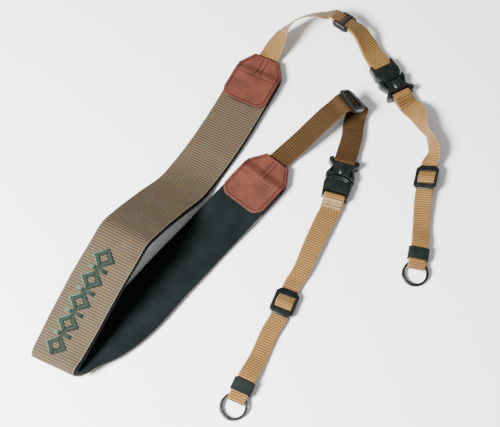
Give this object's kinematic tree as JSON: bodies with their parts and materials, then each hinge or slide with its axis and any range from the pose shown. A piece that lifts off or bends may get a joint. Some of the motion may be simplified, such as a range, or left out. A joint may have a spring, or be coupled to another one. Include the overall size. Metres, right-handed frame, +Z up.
{
  "type": "camera strap",
  "caption": "Camera neck strap lying on a table: padded woven band, leather ends, tan webbing with sliders, side-release buckles, keepers and split rings.",
  "frame": {"origin": "centre of the lying strap's bounding box, on the surface that it lies on", "axes": "+Z up from the surface; +X and +Y in the surface, +X towards the ends with the split rings, +Y towards the adjusters of the longer arch"},
  "size_m": [0.2972, 0.3318, 0.0468],
  "materials": {
    "ribbed_cloth": "matte",
    "foam_backing": "matte",
    "brown_leather": "satin",
    "tan_webbing": "matte",
    "black_plastic": "satin",
    "rubber_sleeve": "matte",
    "dark_metal": "satin"
  },
  "bodies": {
    "root": {"band_cloth": "ribbed_cloth", "band_backing": "foam_backing", "leather_a_front": "brown_leather", "leather_a_back": "brown_leather", "leather_b_front": "brown_leather", "leather_b_back": "brown_leather", "webbing_a_upper": "tan_webbing", "webbing_a_lower": "tan_webbing", "webbing_b_upper": "tan_webbing", "webbing_b_lower": "tan_webbing", "slider_a_upper": "black_plastic", "slider_a_lower": "black_plastic", "slider_b_upper": "black_plastic", "slider_b_lower": "black_plastic", "buckle_a_socket": "black_plastic", "buckle_a_prong": "black_plastic", "buckle_b_socket": "black_plastic", "buckle_b_prong": "black_plastic", "keeper_a": "rubber_sleeve", "keeper_b": "rubber_sleeve", "ring_a": "dark_metal", "ring_b": "dark_metal"}
  },
  "joints": []
}
